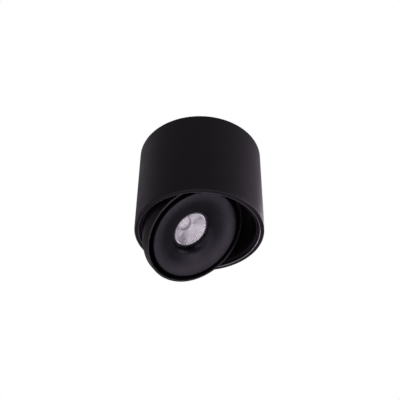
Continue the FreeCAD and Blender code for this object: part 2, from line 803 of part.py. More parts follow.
def make_trim_ring():
    """Ring whose face sinks like a trumpet's bell to the reflector hole, with a crisp round edge
    and a skirt, and posts behind it that stand on the floor of the can."""
    steep = math.radians(trim_throat_slope)
    wide, meet, meet_radius, meet_depth = throat()
    diagonal = 1 - math.sqrt(0.5)
    front = -trim_crest_proud
    back_hole = trim_hole_depth + trim_hole_land
    skirt_inner = trim_radius - trim_wall
    thick = trim_wall
    corner = math.asin((crest_radius - skirt_inner + trim_inside_corner) / (wide - thick))
    hole_back, _ = funnel_point(steep, thick)
    body = turned(
        (trim_hole_radius, depth(trim_hole_depth)),
        (funnel_point((steep + meet) / 2), funnel_point(meet)),
        (funnel_point(meet / 2), funnel_point(0)),
        ((trim_radius - trim_edge_radius * diagonal, depth(front + trim_edge_radius * diagonal)),
         (trim_radius, depth(front + trim_edge_radius))),
        (trim_radius, depth(trim_skirt_depth)),
        (skirt_inner, depth(trim_skirt_depth)),
        (skirt_inner, depth(front + thick + trim_inside_corner)),
        funnel_point(corner, thick),
        (funnel_point((corner + meet) / 2, thick), funnel_point(meet, thick)),
        (funnel_point((steep + meet) / 2, thick), funnel_point(steep, thick)),
        (hole_back, depth(back_hole)),
        (trim_hole_radius, depth(back_hole)))
    for x, y in trim_post_places():
        near_edge = min(math.hypot(x, y) + trim_post_radius, crest_radius)
        _, top = funnel_point(funnel_slope_at(near_edge), thick * 0.6)
        post = rod(trim_post_radius, top, depth(floor_front), x, y)
        body = body.fuse(post)
        body = body.cut(rod(small_screw_diameter / 2 + screw_clearance, depth(floor_front - 8),
                            depth(floor_front + 1), x, y))
    return body.removeSplitter()


def make_trim_screws():
    """Flush screws from behind the floor of the can into the posts of the trim ring."""
    screws = []
    for x, y in trim_post_places():
        screw = flat_head_screw(small_screw_diameter, small_head_diameter, can_floor_thickness + 6)
        screw.translate(Vector(x, y, depth(can_depth - seat_gap / 2)))
        screws.append(screw)
    return Part.makeCompound(screws)


def star_wire(radius, ridge, z):
    """Closed zigzag wire with one point out and one point in for each flute."""
    points = []
    for index in range(2 * flute_count):
        angle = math.pi * index / flute_count
        r = radius if index % 2 == 0 else radius - ridge
        points.append(Vector(r * math.cos(angle), r * math.sin(angle), z))
    return Part.makePolygon(points + [points[0]])


def make_reflector():
    """Thin cone with a flange at its mouth and sharp flutes running down its inside."""
    low = depth(reflector_flange_depth)
    high = depth(reflector_base_depth)
    wall = reflector_wall
    outside = turned(
        (0, low),
        (reflector_flange_radius, low),
        (reflector_flange_radius, low + wall),
        (reflector_mouth_radius + wall, low + wall),
        (reflector_base_radius + wall, high),
        (0, high))
    slope = (reflector_mouth_radius - reflector_base_radius) / (high - low)
    ridge_base = flute_depth * reflector_base_radius / reflector_mouth_radius
    inside = Part.makeLoft([
        star_wire(reflector_mouth_radius + slope, flute_depth, low - 1),
        star_wire(reflector_base_radius - slope, ridge_base, high + 1)], True, True)
    return outside.cut(inside)


def make_emitter():
    """Round phosphor patch of the light source, slightly domed."""
    face = depth(board_front - emitter_thickness)
    half = depth(board_front - emitter_thickness * 0.5)
    return turned((0, depth(board_front)), (emitter_radius, depth(board_front)), (emitter_radius, half),
                  (emitter_radius - 0.5, face), (0, face))


def make_led_board():
    """Square board of the light source with clipped corners for the solder pads."""
    half = board_side / 2
    board = block((-half, half), (-half, half), (depth(board_front), depth(board_back)))
    upright = [edge for edge in board.Edges if edge.BoundBox.ZLength > board_thickness / 2
               and edge.BoundBox.XLength < 0.1 and edge.BoundBox.YLength < 0.1]
    return board.makeChamfer(1.5, upright)


def make_thermal_pad():
    """Thin heat conducting pad between the board and the heatsink."""
    half = board_side / 2
    return block((-half, half), (-half, half), (depth(board_back), depth(sink_front)))


def holder_screw_places():
    return [(holder_screw_circle, 0.0), (-holder_screw_circle, 0.0)]


def make_led_holder():
    """Plastic ring that clamps the board to the heatsink."""
    body = turned(
        (holder_mouth_radius, depth(board_front - 0.6)),
        (holder_mouth_radius + 1.2, depth(holder_front)),
        (holder_radius - 1, depth(holder_front)),
        (holder_radius, depth(holder_front + 1)),
        (holder_radius, depth(sink_front)),
        (holder_mouth_radius, depth(sink_front)))
    half = board_side / 2 + seat_gap
    pocket = block((-half, half), (-half, half), (depth(board_front), depth(sink_front + 1)))
    body = body.cut(pocket)
    for x, y in holder_screw_places():
        head = rod(small_head_diameter / 2 + 0.2, depth(holder_front - 1), depth(holder_front + 1.9), x, y)
        shank = rod(small_screw_diameter / 2 + screw_clearance, depth(holder_front), depth(sink_front + 1), x, y)
        body = body.cut(head).cut(shank)
    return body


def make_holder_screws():
    """Two sunk screws through the holder into the heatsink."""
    screws = []
    for x, y in holder_screw_places():
        screw = pan_head_screw(small_screw_diameter, small_head_diameter, small_head_height,
                               holder_height - 1.9 + 2.5)
        place = Vector(x, y, depth(holder_front + 1.9))
        screws.append(placed(screw, Vector(0, 0, -1), place))
    return Part.makeCompound(screws)


def sink_screw_shapes(radius):
    """Straight rods where the heatsink is screwed to the can."""
    shank = rod(radius, depth(floor_front - 1), depth(sink_base_back + 1), sink_screw_circle)
    return around(shank, sink_screw_count, 45)


def make_heatsink():
    """Round base with straight fins, pocketed for the lead and the holder screws."""
    base = rod(sink_base_radius, depth(sink_front), depth(sink_base_back))
    fins = rod(sink_fin_radius, depth(sink_base_back) - 0.5, depth(sink_depth))
    rim = [edge for edge in fins.Edges if abs(edge.CenterOfMass.z - depth(sink_depth)) < 0.01]
    fins = fins.makeChamfer(2.0, rim)
    gap_width = sink_fin_pitch - sink_fin_thickness
    for index in range(-sink_fins_each_side - 1, sink_fins_each_side + 1):
        y = (index + 0.5) * sink_fin_pitch
        channel = block((-60, 60), (y - gap_width / 2, y + gap_width / 2),
                        (depth(sink_base_back), depth(sink_depth) + 1))
        fins = fins.cut(channel)
    edge_y = sink_fins_each_side * sink_fin_pitch + sink_fin_thickness / 2
    for side in (-1, 1):
        strip = block((-60, 60), sorted((side * edge_y, side * 60)),
                      (depth(sink_base_back), depth(sink_depth) + 1))
        fins = fins.cut(strip)
    sink = base.fuse(fins)
    for cutter in sink_screw_shapes(small_screw_diameter / 2 + screw_clearance):
        sink = sink.cut(cutter)
    head_room = rod(small_head_diameter / 2 + 0.6, depth(sink_base_back), depth(sink_depth) + 1,
                    sink_screw_circle)
    for cutter in around(head_room, sink_screw_count, 45):
        sink = sink.cut(cutter)
    for x, y in holder_screw_places():
        sink = sink.cut(rod(small_screw_diameter / 2 + screw_clearance, depth(sink_front) - 1,
                            depth(sink_front + 2.8), x, y))
    lead_pocket = rod(lead_grommet_radius + 1.5, depth(sink_base_back), depth(sink_depth) + 1,
                      -lead_hole_offset)
    lead_hole = rod(lead_grommet_radius - 1 + seat_gap, depth(sink_front) - 1,
                    depth(sink_base_back) + 1, -lead_hole_offset)
    return sink.cut(lead_pocket).cut(lead_hole).removeSplitter()


def make_sink_screws():
    """Screws from behind that hold the heatsink to the floor of the can."""
    screw = pan_head_screw(small_screw_diameter, small_head_diameter, small_head_height,
                           sink_base_thickness + can_floor_thickness)
    screw.translate(Vector(sink_screw_circle, 0, depth(sink_base_back)))
    return Part.makeCompound(around(screw, sink_screw_count, 45))


def make_lead_grommet():
    """Rubber bush for the lamp lead in the base of the heatsink."""
    back = depth(sink_base_back)
    neck = lead_grommet_radius - 1
    bush = turned((lead_grommet_bore, depth(sink_front) + 0.2), (neck, depth(sink_front) + 0.2), (neck, back),
                  (lead_grommet_radius, back), (lead_grommet_radius, back + 1.2),
                  (lead_grommet_bore + 0.6, back + 3.0), (lead_grommet_bore, back + 3.0))
    bush.translate(Vector(-lead_hole_offset, 0, 0))
    return bush


# ---------------------------------------------------------------- write every piece
fixed_parts = {
    "ceiling_plate": make_ceiling_plate,
    "cable_grommet": make_cable_grommet,
    "terminal_block": make_terminal_block,
    "terminal_screws": make_terminal_screws,
    "terminal_fixing_screw": make_terminal_fixing,
    "earth_screw": make_earth_screw,
    "driver_case": make_driver_case,
    "driver_lid": make_driver_lid,
    "driver_screws": make_driver_screws,
    "housing": make_housing,
    "side_screws": make_side_screws,
    "glide_ring": make_glide_ring,
    "disc_spring": make_disc_spring,
    "circlip": make_circlip,
}
ring_parts = {
    "swivel_ring": make_swivel_ring,
    "guide_screws": make_guide_screws,
    "guide_nuts": make_guide_nuts,
    "friction_washers": make_friction_washers,
}
head_parts = {
    "head_can": make_head_can,
    "trim_ring": make_trim_ring,
    "trim_screws": make_trim_screws,
    "reflector": make_reflector,
    "led_emitter": make_emitter,
    "led_board": make_led_board,
    "thermal_pad": make_thermal_pad,
    "led_holder": make_led_holder,
    "holder_screws": make_holder_screws,
    "heatsink": make_heatsink,
    "heatsink_screws": make_sink_screws,
    "lead_grommet": make_lead_grommet,
}


def write(name, shape):
    """Save one piece and say whether it is sound."""
    shape.exportStep("parts/" + name + ".step")
    print(name, "solids", len(shape.Solids), "valid", shape.isValid(), "volume", round(shape.Volume, 1))


os.makedirs("parts", exist_ok=True)
for part_name, make in fixed_parts.items():
    write(part_name, make())
for part_name, make in ring_parts.items():
    write(part_name, with_ring(make()))
for part_name, make in head_parts.items():
    write(part_name, with_head(make()))
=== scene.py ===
"""Looks of a black surface mounted ceiling spotlight whose round lamp head tilts out of its housing.

The light hangs from z = 0 down. Lengths are metres. The sections follow the light as it is put
together: studio, housing, ring, lamp head from the outside in, then what hides behind it.
"""
import json
import math

import bpy
import numpy as np
from mathutils import Matrix, Quaternion, Vector


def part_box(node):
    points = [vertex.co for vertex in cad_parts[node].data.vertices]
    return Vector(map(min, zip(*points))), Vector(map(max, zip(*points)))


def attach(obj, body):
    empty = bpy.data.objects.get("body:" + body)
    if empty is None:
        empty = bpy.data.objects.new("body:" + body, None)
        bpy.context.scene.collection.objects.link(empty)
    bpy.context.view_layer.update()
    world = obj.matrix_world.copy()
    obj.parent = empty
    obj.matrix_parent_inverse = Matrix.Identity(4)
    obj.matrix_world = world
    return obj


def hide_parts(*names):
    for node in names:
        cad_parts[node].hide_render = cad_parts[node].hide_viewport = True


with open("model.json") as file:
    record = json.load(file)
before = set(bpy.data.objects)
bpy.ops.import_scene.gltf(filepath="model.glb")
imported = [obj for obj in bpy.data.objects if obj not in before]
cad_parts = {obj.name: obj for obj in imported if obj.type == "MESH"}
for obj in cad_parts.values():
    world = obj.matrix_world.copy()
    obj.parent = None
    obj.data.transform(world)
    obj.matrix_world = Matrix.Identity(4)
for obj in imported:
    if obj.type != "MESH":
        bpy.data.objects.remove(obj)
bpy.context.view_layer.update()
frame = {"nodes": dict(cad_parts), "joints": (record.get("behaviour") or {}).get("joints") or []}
node = frame["nodes"]
mm = 0.001

# ------------------------------------------------------------------ studio
# The light hangs in a white studio, seen from below and about three quarters of a metre off.
# Soft boxes stand all round it, strongest behind it at the right, so the black walls brighten
# towards their edges.
camera_distance = 0.7377
camera_elevation = math.radians(-44.27)
camera_tip = math.radians(3.11)
camera_lean = math.radians(0.71)
camera_lens = 65.9

# The camera looks at the origin, then tips about its own X and leans about its own Z.
back = Vector((0.0, -math.cos(camera_elevation), math.sin(camera_elevation)))
side = Vector((1.0, 0.0, 0.0))
above = back.cross(side)
aim = Matrix((side, above, back)).transposed()
own_turn = Vector((camera_tip, 0.0, -camera_lean))
camera = bpy.data.objects.new("camera", bpy.data.cameras.new("camera"))
bpy.context.scene.collection.objects.link(camera)
camera.data.lens = camera_lens
camera.data.sensor_width = 36.0
turned = aim @ Quaternion(own_turn.normalized(), own_turn.length).inverted().to_matrix()
camera.matrix_world = Matrix.Translation(back * camera_distance) @ turned.to_4x4()
camera.data.clip_start = 0.01
bpy.context.scene.camera = camera

studio_tint = (1.0, 0.90, 1.04)
lamp_middle = Vector((0.0, 0.0, -0.08))
box_distance = 1.0
panel = 0.45
small_panel = 0.25


def soft_box(name, direction, size, watts):
    """Square light that faces the middle of the lamp from a direction, box_distance away."""
    light = bpy.data.lights.new(name, "AREA")
    light.shape = "RECTANGLE"
    light.size = size
    light.size_y = size
    light.energy = watts
    light.color = studio_tint
    box = bpy.data.objects.new(name, light)
    bpy.context.scene.collection.objects.link(box)
    away = Vector(direction).normalized()
    box.location = lamp_middle + away * box_distance
    box.rotation_euler = away.to_track_quat("Z", "Y").to_euler()


soft_box("box_right_low", (0.69, 0.21, -0.70), panel, 1.42)
soft_box("box_right_front_low", (0.83, -0.23, -0.52), panel, 1.27)
soft_box("box_below_right", (0.49, -0.34, -0.80), panel, 0.75)
soft_box("box_right", (0.96, -0.13, 0.23), panel, 3.4)
soft_box("box_front_right", (0.74, -0.62, 0.25), panel, 0.35)
soft_box("box_right_back", (0.67, 0.66, 0.34), panel, 7.8)
soft_box("box_left_low", (-0.54, -0.07, -0.84), panel, 0.55)
soft_box("box_left_up", (-0.66, 0.28, 0.70), panel, 0.06)
soft_box("box_left_back", (-0.63, 0.69, -0.36), panel, 2.6)
soft_box("box_front_left_low", (-0.34, -0.59, -0.73), panel, 0.62)
soft_box("box_front_low", (-0.16, -0.88, -0.45), panel, 0.60)
soft_box("box_front_below", (0.02, -0.41, -0.91), panel, 0.60)
soft_box("box_front_right_low", (0.29, -0.72, -0.62), panel, 0.42)
soft_box("box_front", (0.17, -0.97, -0.12), small_panel, 0.70)

floor_drop = 1.2
floor_half = 6.0
floor_mesh = bpy.data.meshes.new("floor")
floor_mesh.from_pydata([(-floor_half, -floor_half, -floor_drop), (floor_half, -floor_half, -floor_drop),
                        (floor_half, floor_half, -floor_drop), (-floor_half, floor_half, -floor_drop)],
                       [], [(0, 1, 2, 3)])
floor = bpy.data.objects.new("floor", floor_mesh)
bpy.context.scene.collection.objects.link(floor)
pale = bpy.data.materials.new("pale_floor")
pale.use_nodes = True
shader = pale.node_tree.nodes["Principled BSDF"]
shader.inputs["Base Color"].default_value = (0.8, 0.8, 0.8, 1)
shader.inputs["Roughness"].default_value = 0.8
floor_mesh.materials.append(pale)

# The backdrop is pure white; what it sends onto the lamp is weaker than what the camera sees.
world = bpy.data.worlds.new("studio")
bpy.context.scene.world = world
world.use_nodes = True
sky = world.node_tree
sky.nodes.clear()
seen = sky.nodes.new("ShaderNodeBackground")
seen.inputs["Color"].default_value = (1, 1, 1, 1)
seen.inputs["Strength"].default_value = 1.0
lit = sky.nodes.new("ShaderNodeBackground")
lit.inputs["Color"].default_value = (*studio_tint, 1)
lit.inputs["Strength"].default_value = 0.24
ray = sky.nodes.new("ShaderNodeLightPath")
choose = sky.nodes.new("ShaderNodeMixShader")
out = sky.nodes.new("ShaderNodeOutputWorld")
sky.links.new(ray.outputs["Is Camera Ray"], choose.inputs["Fac"])
sky.links.new(lit.outputs["Background"], choose.inputs[1])
sky.links.new(seen.outputs["Background"], choose.inputs[2])
sky.links.new(choose.outputs["Shader"], out.inputs["Surface"])
bpy.context.scene.view_settings.view_transform = "Standard"

# ------------------------------------------------------------------ housing
# A drawn aluminium tube, powder coated matte black, with bare metal showing on the inner edge of
# its mouth. The mouth has a flat turned face and a stepped bore, where the swivel ring lies on a
# shelf. Two flush screws near the top hold the tube to its ceiling plate.
housing_low, housing_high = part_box("housing")
clip_low, clip_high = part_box("circlip")
screw_low, screw_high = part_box("side_screws")
housing_radius = housing_high.x
housing_bore = housing_radius - 2.7 * mm
mouth = housing_low.z
mouth_bore = housing_radius - 4.3 * mm
mouth_ledge = mouth + 3.0 * mm
mouth_outer_edge = 0.9 * mm
mouth_inner_edge = 0.6 * mm
shelf = mouth + 5.0 * mm
shelf_bore = housing_radius - 5.5 * mm
top_edge = 0.6 * mm
broken_edge = 0.2 * mm
groove_radius = clip_high.x + 0.05 * mm
groove_top = clip_high.z + 0.1 * mm
screw_height = (screw_low.z + screw_high.z) / 2
sink_radius = 4.2 * mm
sink_depth = 2.4 * mm


def rounded(corners, steps=6):
    """Outline through corners of (radius, height, fillet). A corner with a fillet becomes an arc
    that touches both its sides, at fillet / tan(half the corner's inner angle) from the corner."""
    corners = np.array(corners, float)
    points = []
    for before, corner, after in zip(np.roll(corners, 1, 0), corners, np.roll(corners, -1, 0)):
        here, fillet = corner[:2], corner[2]
        if fillet == 0.0:
            points.append(here[None, :])
            continue
        to_before = (before[:2] - here) / np.linalg.norm(before[:2] - here)
        to_after = (after[:2] - here) / np.linalg.norm(after[:2] - here)
        between = to_before + to_after
        half = math.acos(np.clip(to_before @ to_after, -1.0, 1.0)) / 2
        reach = fillet / math.tan(half)
        centre = here + between / np.linalg.norm(between) * fillet / math.sin(half)
        start = here + to_before * reach - centre
        end = here + to_after * reach - centre
        whole = math.acos(np.clip(start @ end / fillet ** 2, -1.0, 1.0))
        share = np.linspace(0.0, 1.0, steps + 1)[:, None]
        arc = (np.sin((1 - share) * whole) * start + np.sin(share * whole) * end) / math.sin(whole)
        points.append(centre + arc)
    return np.concatenate(points)


def surface(name, body, points, across_closed, along_closed, sharp=40.0, flip=False):
    """Mesh of a grid of points [along, across, xyz], joined at its ends where it is closed.
    Faces are quads between neighbours, and flip turns every face round. Edges that bend more than
    sharp degrees stay crisp."""
    rows, columns = points.shape[:2]
    index = np.arange(rows * columns).reshape(rows, columns)
    if across_closed:
        index = np.concatenate([index, index[:, :1]], 1)
    if along_closed:
        index = np.concatenate([index, index[:1]], 0)
    corners = [index[:-1, :-1], index[:-1, 1:], index[1:, 1:], index[1:, :-1]]
    quads = np.stack(corners, -1).reshape(-1, 4)
    if flip:
        quads = quads[:, ::-1]
    mesh = bpy.data.meshes.new(name)
    mesh.from_pydata(points.reshape(-1, 3).tolist(), [], quads.tolist())
    mesh.polygons.foreach_set("use_smooth", np.ones(len(mesh.polygons), bool))
    mesh.set_sharp_from_angle(angle=math.radians(sharp))
    piece = bpy.data.objects.new(name, mesh)
    bpy.context.scene.collection.objects.link(piece)
    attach(piece, body)
    return piece


def spin(outline, angles):
    """Grid of points: each outline point (radius, height) carried round Z through the angles."""
    radius, height = outline[:, 0:1], outline[:, 1:2]
    x = radius * np.cos(angles)
    y = radius * np.sin(angles)
    z = np.broadcast_to(height, x.shape)
    return np.stack([x, y, z], -1)


def new_material(name):
    """Material, its node tree, its shader and the Object coordinates that its patterns read."""
    made = bpy.data.materials.new(name)
    made.use_nodes = True
    tree = made.node_tree
    place = tree.nodes.new("ShaderNodeTexCoord").outputs["Object"]
    return made, tree, tree.nodes["Principled BSDF"], place


def noise(tree, place, scale, detail=2.0, roughness=0.5):
    """Soft random pattern with about scale blobs to the metre. Returns its value."""
    texture = tree.nodes.new("ShaderNodeTexNoise")
    texture.inputs["Scale"].default_value = scale
    texture.inputs["Detail"].default_value = detail
    texture.inputs["Roughness"].default_value = roughness
    tree.links.new(place, texture.inputs["Vector"])
    return texture.outputs["Fac"]


def uneven_tone(tree, shader, pattern, colour, dark, light, between=(0.3, 0.7)):
    """Base colour from dark to light times the colour, as the pattern goes from the first to the
    second value of between."""
    ramp = tree.nodes.new("ShaderNodeValToRGB")
    for stop, position, share in zip(ramp.color_ramp.elements, between, (dark, light)):
        stop.position = position
        stop.color = (*[min(1.0, part * share) for part in colour], 1)
    tree.links.new(pattern, ramp.inputs["Fac"])
    tree.links.new(ramp.outputs["Color"], shader.inputs["Base Color"])


def uneven_gloss(tree, shader, pattern, low, high, between=(0.3, 0.7)):
    """Roughness from low to high, as the pattern goes from the first to the second value of
    between."""
    gloss = tree.nodes.new("ShaderNodeMapRange")
    gloss.inputs["From Min"].default_value = between[0]
    gloss.inputs["From Max"].default_value = between[1]
    gloss.inputs["To Min"].default_value = low
    gloss.inputs["To Max"].default_value = high
    tree.links.new(pattern, gloss.inputs["Value"])
    tree.links.new(gloss.outputs["Result"], shader.inputs["Roughness"])


def relief(tree, pattern, strength, depth, under=None):
    """Bump of a pattern, on top of another relief where one lies under it. Returns its normal."""
    bump = tree.nodes.new("ShaderNodeBump")
    bump.inputs["Strength"].default_value = strength
    bump.inputs["Distance"].default_value = depth
    tree.links.new(pattern, bump.inputs["Height"])
    if under is not None:
        tree.links.new(under, bump.inputs["Normal"])
    return bump.outputs["Normal"]


def powder_coat(name, colour, grain, roughness, bump, tint=(1.0, 0.96, 1.0, 1.0)):
    """Baked powder coat: a sandy skin of small grains on slow waves, a little uneven in gloss and
    tone, as cured powder is. grain is the grain size in metres. The low IOR keeps it matte."""
    coat, tree, shader, place = new_material(name)
    shader.inputs["IOR"].default_value = 1.33
    shader.inputs["Specular Tint"].default_value = tint
    fine = noise(tree, place, 1.0 / grain, detail=3.0, roughness=0.6)
    slow = noise(tree, place, 60.0)
    specks = tree.nodes.new("ShaderNodeTexVoronoi")
    specks.inputs["Scale"].default_value = 0.45 / grain
    tree.links.new(place, specks.inputs["Vector"])
    uneven_tone(tree, shader, fine, colour, 0.82, 1.18, between=(0.35, 0.65))
    uneven_gloss(tree, shader, slow, roughness - 0.04, roughness + 0.04)
    waves = relief(tree, slow, bump * 0.5, 0.12 * mm)
    grains = relief(tree, specks.outputs["Distance"], bump, grain * 0.25, under=waves)
    tree.links.new(grains, shader.inputs["Normal"])
    return coat


def sunk_for_screws(points):
    """Presses a 45 degree countersink into the outer wall round the axis of each side screw:
    the wall moves in by sink radius minus the distance from the axis, down to the sink depth."""
    x, y, z = points[..., 0], points[..., 1], points[..., 2]
    radius = np.hypot(x, y)
    away = np.hypot(y, z - screw_height)
    depth = np.clip(sink_radius - away, 0.0, sink_depth)
    depth = np.where(radius > housing_radius - 0.2 * mm, depth, 0.0)
    scale = ((radius - depth) / radius)[..., None]
    return points * np.where([True, True, False], scale, 1.0)


near_screw = screw_height + np.linspace(-sink_radius, sink_radius, 29)
plain_wall = np.linspace(mouth + 6 * mm, near_screw[0] - 2 * mm, 14)
outer_wall = [(housing_radius, z, 0.0) for z in (*plain_wall, *near_screw)]
housing_outline = rounded(
    [(housing_radius, mouth, mouth_outer_edge)] + outer_wall +
    [(housing_radius, 0.0, top_edge),
     (housing_bore, 0.0, broken_edge),
     (housing_bore, groove_top, 0.0),
     (groove_radius, groove_top, 0.0),
     (groove_radius, clip_low.z, 0.0),
     (housing_bore, clip_low.z, 0.0),
     (housing_bore, shelf, 0.0),
     (shelf_bore, shelf, broken_edge),
     (shelf_bore, mouth_ledge, 0.15 * mm),
     (mouth_bore, mouth_ledge, 0.0),
     (mouth_bore, mouth, mouth_inner_edge)], 8)
screw_span = math.degrees(sink_radius / housing_radius) + 0.4
dense = np.linspace(-screw_span, screw_span, 33)
open_half = np.linspace(screw_span, 180 - screw_span, 118)[1:-1]
housing_angles = np.radians(np.concatenate([dense, open_half, dense + 180, open_half + 180]))
housing = surface("housing_tube", "fixture", sunk_for_screws(spin(housing_outline, housing_angles)),
                  across_closed=True, along_closed=True, flip=True)
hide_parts("housing")
housing_coat = powder_coat("housing_powder_coat", (0.0058, 0.0048, 0.0058),
                           grain=0.35 * mm, roughness=0.38, bump=0.35)


def maths(tree, kind, operation, *sources):
    """Node of plain or vector maths; each source is another node's socket or a fixed value."""
    made = tree.nodes.new(kind)
    made.operation = operation
    for socket, source in zip(made.inputs, sources):
        if isinstance(source, bpy.types.NodeSocket):
            tree.links.new(source, socket)
        else:
            socket.default_value = source
    return made


def blend_in_colour(material, measure, near, far, most, colour):
    """Mixes a colour into a material's own: by most where the measure is near, by nothing from far
    on, and evenly between them. Returns the socket with that share."""
    tree = material.node_tree
    base = tree.nodes["Principled BSDF"].inputs["Base Color"]
    share = tree.nodes.new("ShaderNodeMapRange")
    share.inputs["From Min"].default_value = near
    share.inputs["From Max"].default_value = far
    share.inputs["To Min"].default_value = most
    share.inputs["To Max"].default_value = 0.0
    tree.links.new(measure, share.inputs["Value"])
    mix = tree.nodes.new("ShaderNodeMix")
    mix.data_type = "RGBA"
    factor, own, other, blend = mix.inputs[0], mix.inputs[6], mix.inputs[7], mix.outputs[2]
    tree.links.new(share.outputs["Result"], factor)
    tree.links.new(base.links[0].from_socket, own)
    other.default_value = colour
    tree.links.new(blend, base)
    return share.outputs["Result"]


def bare_mouth_edge(coat):
    """Bare metal on the inner edge of the mouth: the measure is how far (distance from Z, height)
    lies from the edge's own distance and height."""
    tree = coat.node_tree
    place = tree.nodes.new("ShaderNodeTexCoord").outputs["Object"]
    height = tree.nodes.new("ShaderNodeSeparateXYZ")
    tree.links.new(place, height.inputs["Vector"])
    level = maths(tree, "ShaderNodeVectorMath", "MULTIPLY", place, (1.0, 1.0, 0.0)).outputs["Vector"]
    from_z = maths(tree, "ShaderNodeVectorMath", "LENGTH", level).outputs["Value"]
    spot = tree.nodes.new("ShaderNodeCombineXYZ")
    tree.links.new(from_z, spot.inputs["X"])
    tree.links.new(height.outputs["Z"], spot.inputs["Z"])
    inside_edge = 0.15 * mm
    edge = (mouth_bore + inside_edge, 0.0, mouth + inside_edge)
    away = maths(tree, "ShaderNodeVectorMath", "DISTANCE", spot.outputs["Vector"], edge)
    metallic = blend_in_colour(coat, away.outputs["Value"], near=0.30 * mm, far=0.55 * mm, most=1.0,
                            colour=(0.36, 0.345, 0.37, 1.0))
    tree.links.new(metallic, tree.nodes["Principled BSDF"].inputs["Metallic"])


bare_mouth_edge(housing_coat)
housing.data.materials.append(housing_coat)

# ------------------------------------------------------------------ side screws
# Two countersunk socket screws of blackened steel, flush with the wall. They go through the tube
# into the tabs of the ceiling plate.
def metal(name, colour, roughness, scratch, metallic=1.0):
    """Machined or rolled metal: fine streaks in gloss and a faint cloudiness in tone."""
    made, tree, shader, place = new_material(name)
    shader.inputs["Metallic"].default_value = metallic
    stretch = tree.nodes.new("ShaderNodeMapping")
    stretch.inputs["Scale"].default_value = (0.15, 1.0, 1.0)
    tree.links.new(place, stretch.inputs["Vector"])
    streaks = noise(tree, stretch.outputs["Vector"], 900.0, detail=4.0)
    clouds = noise(tree, place, 90.0, detail=3.0)
    uneven_tone(tree, shader, clouds, colour, 0.85, 1.08)
    uneven_gloss(tree, shader, streaks, roughness * 0.8, roughness * 1.25)
    tree.links.new(relief(tree, streaks, scratch, 0.05 * mm), shader.inputs["Normal"])
    return made


def finish_node(name, material):
    """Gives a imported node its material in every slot."""
    slots = node[name].data.materials
    slots.clear()
    slots.append(material)


finish_node("side_screws", metal("blackened_steel", (0.035, 0.033, 0.032), roughness=0.38, scratch=0.2))

# ------------------------------------------------------------------ swivel ring
# A cast aluminium ring whose collar shows just inside the lip; the lamp head swings in its two
# ears. It is powder coated like the housing.
cast_black = (0.005, 0.0043, 0.005)
finish_node("swivel_ring", powder_coat("ring_powder_coat", cast_black,
                                       grain=0.35 * mm, roughness=0.38, bump=0.3))

# ------------------------------------------------------------------ head can
# The cup that carries the lamp: cast aluminium, straight at its rim and round behind it, so that
# it turns like a ball in the ring. Thin flat lugs on both sides hold the curved slots.
tilt_joint = next(joint for joint in frame["joints"] if joint["name"] == "tilt")
tilt_axis = np.array(tilt_joint["axis"], float)
tilt_centre = np.array(tilt_joint["pos_m"], float)
tilt_shown = math.radians(-tilt_joint["range_deg"][0])
can_radius = 50.4 * mm
can_wall = 2.0 * mm
can_band = 8.0 * mm
can_back = 26.2 * mm
can_floor = 23.7 * mm
can_floor_hole = 24.0 * mm
can_rim_inner = 0.35 * mm
can_rim_outer = 0.45 * mm
can_inner_start = can_band + 1.6 * mm
ball_radius = 52.2 * mm
tilt_drop = mouth - tilt_centre[2]


def shown(points):
    """Moves points of the shut head to the pose shown. X of the shut head is the way it swings:
    turn about Z until Y lies against the tilt axis, then turn about that axis by the tilt."""
    cosine, sine = -tilt_axis[1], tilt_axis[0]
    x = points[..., 0] * cosine - points[..., 1] * sine
    y = points[..., 0] * sine + points[..., 1] * cosine
    turned = np.stack([x, y, points[..., 2]], -1) - tilt_centre
    along = (turned @ tilt_axis)[..., None] * tilt_axis
    crossed = np.cross(np.broadcast_to(tilt_axis, turned.shape), turned)
    swung = along + (turned - along) * math.cos(tilt_shown) + crossed * math.sin(tilt_shown)
    return swung + tilt_centre


def head_outline(corners, steps=6):
    """Like rounded, with each corner's height given as its depth behind the rim of the can."""
    return rounded([(radius, mouth + depth, fillet) for radius, depth, fillet in corners], steps)


def ball_arc(ball, near, far, steps):
    """Corners on a ball about the tilt centre between two depths behind the rim: the radius is
    the root of the ball's radius squared less the height over the centre squared."""
    depths = np.linspace(near, far, steps)
    radii = np.sqrt(ball ** 2 - (depths + tilt_drop) ** 2)
    return [(radius, depth, 0.0) for radius, depth in zip(radii, depths)]


all_round = np.linspace(0.0, 2 * math.pi, 256, endpoint=False)
inner_ball = ball_radius - can_wall
can_outline = head_outline(
    [(can_radius - can_wall, 0.0, can_rim_inner),
     (can_radius, 0.0, can_rim_outer),
     (can_radius, can_band, 0.0)] +
    ball_arc(ball_radius, can_band + 0.1 * mm, can_back, 24) +
    [(can_floor_hole, can_back, broken_edge),
     (can_floor_hole, can_floor, broken_edge)] +
    ball_arc(inner_ball, can_floor, can_inner_start, 16) +
    [(can_radius - can_wall, can_band, 0.0)])
can = surface("head_can_shell", "head", shown(spin(can_outline, all_round)),
              across_closed=True, along_closed=True)
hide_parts("head_can")
can_coat = powder_coat("can_powder_coat", cast_black, grain=0.3 * mm, roughness=0.36, bump=0.3)
can.data.materials.append(can_coat)

# The lugs: a bar 2 mm thick that follows the slot's arc and has round ends, with the slot in it.
guide_radius = 27.5 * mm
slot_half = 2.25 * mm
lug_half = 4.25 * mm
lug_near = can_radius - can_wall
lug_far = can_radius
slot_reach = math.radians(8.0)
slot_start = -slot_reach
slot_end = slot_reach + tilt_shown
flanks = ((1, "far"), (-1, "near"))


